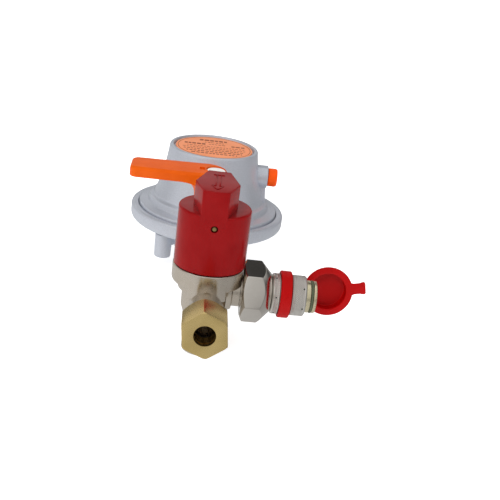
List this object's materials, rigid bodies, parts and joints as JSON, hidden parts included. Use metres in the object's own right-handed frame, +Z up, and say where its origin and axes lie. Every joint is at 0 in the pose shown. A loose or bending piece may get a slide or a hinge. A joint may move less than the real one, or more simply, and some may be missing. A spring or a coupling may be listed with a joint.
{
  "type": "gas pressure regulator",
  "caption": "Diaphragm gas regulator with a lever shut-off valve, a red-capped safety block, a compression outlet and a quick test coupling with a tethered dust cap.",
  "frame": {"origin": "centre of the regulator's flat underside", "axes": "+Z up the regulator's axis, -Y along the pipe towards the outlet nut, +X towards the test coupling"},
  "size_m": [0.1075, 0.2134, 0.075],
  "materials": {
    "silver_paint": "satin silver paint on a die casting",
    "bare_zinc": "bare zinc die casting",
    "brass": "machined brass",
    "pale_brass": "bright turned brass",
    "nickel_plate": "nickel plate on brass",
    "steel": "bright steel",
    "orange_plastic": "moulded plastic, satin",
    "orange_label": "printed film label",
    "red_lacquer": "gloss red lacquer",
    "red_rubber": "soft moulded rubber, satin",
    "black_rubber": "moulded rubber",
    "white_plastic": "moulded plastic",
    "seat_plastic": "machined plastic"
  },
  "bodies": {
    "regulator": {"lower_housing": "silver_paint", "bonnet": "silver_paint", "adjusting_cap": "bare_zinc", "inlet_nozzle": "brass", "inlet_connector": "brass", "gland_nut": "brass", "cap_lock_pin": "brass", "shutter_guide": "brass", "shutter_seat": "brass", "cutting_ring": "brass", "poppet_guide": "brass", "coupling_nipple": "pale_brass", "valve_body": "nickel_plate", "valve_tailpiece": "nickel_plate", "valve_block": "nickel_plate", "coupling_body": "nickel_plate", "main_spring": "steel", "rocker_pin": "steel", "inlet_filter": "steel", "sensor_ball": "steel", "shutter_spring": "steel", "locking_ball_1": "steel", "locking_ball_2": "steel", "locking_ball_3": "steel", "retaining_clip": "steel", "sleeve_spring": "steel", "poppet_spring": "steel", "breather_plug": "orange_plastic", "label_disc": "orange_label", "red_cap": "red_lacquer", "diaphragm": "black_rubber", "guide_seal": "black_rubber", "union_seal": "black_rubber", "nipple_o_ring": "black_rubber", "breather_filter": "white_plastic", "ball_seat_rear": "seat_plastic", "ball_seat_front": "seat_plastic", "sensor_cup": "seat_plastic"},
    "diaphragm_assembly": {"diaphragm_plate": "bare_zinc", "diaphragm_stem": "brass", "relief_spring": "steel", "relief_nut": "steel"},
    "rocker": {"rocker_lever": "steel"},
    "slider": {"valve_slider": "brass", "valve_pad": "black_rubber"},
    "lever": {"shutoff_ball": "steel", "valve_spindle": "brass", "spindle_o_ring": "black_rubber", "lever_handle": "orange_plastic", "lever_screw": "steel", "lever_cover": "white_plastic"},
    "shutter": {"shutter_plunger": "brass", "shutter_pad": "black_rubber"},
    "outlet_nut": {"outlet_nut": "brass"},
    "union_nut": {"union_nut": "nickel_plate"},
    "sleeve": {"coupling_sleeve": "nickel_plate"},
    "tether": {"cap_tether": "red_rubber"},
    "dust_cap": {"dust_cap": "red_rubber"},
    "poppet": {"poppet": "brass"}
  },
  "joints": [
    {"name": "diaphragm_lift", "type": "slide", "parent": "regulator", "child": "diaphragm_assembly", "axis": [0, 0, 1], "range_m": [0, 0.0015], "stiffness_N_per_m": 2000, "springref_m": -0.003, "deforming": ["diaphragm", "main_spring"]},
    {"name": "rocker_tilt", "type": "hinge", "parent": "regulator", "child": "rocker", "pos_m": [0, 0.006, 0.0062], "axis": [-1, 0, 0], "range_deg": [0, 20]},
    {"name": "pad_slide", "type": "slide", "parent": "regulator", "child": "slider", "axis": [0, 1, 0], "range_m": [0, 0.0016]},
    {"name": "lever_turn", "type": "hinge", "parent": "regulator", "child": "lever", "pos_m": [0, -0.0735, 0], "axis": [0, 0, 1], "range_deg": [-90, 0]},
    {"name": "shutter_drop", "type": "slide", "parent": "regulator", "child": "shutter", "axis": [0, 0, -1], "range_m": [0, 0.0016], "stiffness_N_per_m": 400, "springref_m": -0.001, "deforming": ["shutter_spring"]},
    {"name": "outlet_nut_turn", "type": "hinge", "parent": "regulator", "child": "outlet_nut", "pos_m": [0, -0.1374, 0.027], "axis": [0, 1, 0], "continuous": true},
    {"name": "union_nut_turn", "type": "hinge", "parent": "regulator", "child": "union_nut", "pos_m": [0.014, -0.1132, 0.0296], "axis": [1, 0, 0], "continuous": true},
    {"name": "sleeve_slide", "type": "slide", "parent": "regulator", "child": "sleeve", "axis": [1, 0, 0], "range_m": [0, 0.0014], "stiffness_N_per_m": 1500, "springref_m": -0.002, "deforming": ["sleeve_spring"]},
    {"name": "tether_swivel", "type": "hinge", "parent": "sleeve", "child": "tether", "pos_m": [0.0325, -0.1132, 0.0296], "axis": [1, 0, 0], "continuous": true},
    {"name": "cap_swing", "type": "hinge", "parent": "tether", "child": "dust_cap", "pos_m": [0.041, -0.10285, 0.02815], "axis": [0, 0.1392, 0.9903], "range_deg": [-90, 10]},
    {"name": "poppet_push", "type": "slide", "parent": "regulator", "child": "poppet", "axis": [-1, 0, 0], "range_m": [0, 0.0012], "stiffness_N_per_m": 800, "springref_m": -0.001, "deforming": ["poppet_spring"]}
  ],
  "couplings": [
    {"joint": "rocker_tilt", "follows": "diaphragm_lift", "rad_per_m": 166.67},
    {"joint": "pad_slide", "follows": "diaphragm_lift", "ratio": 0.8}
  ]
}
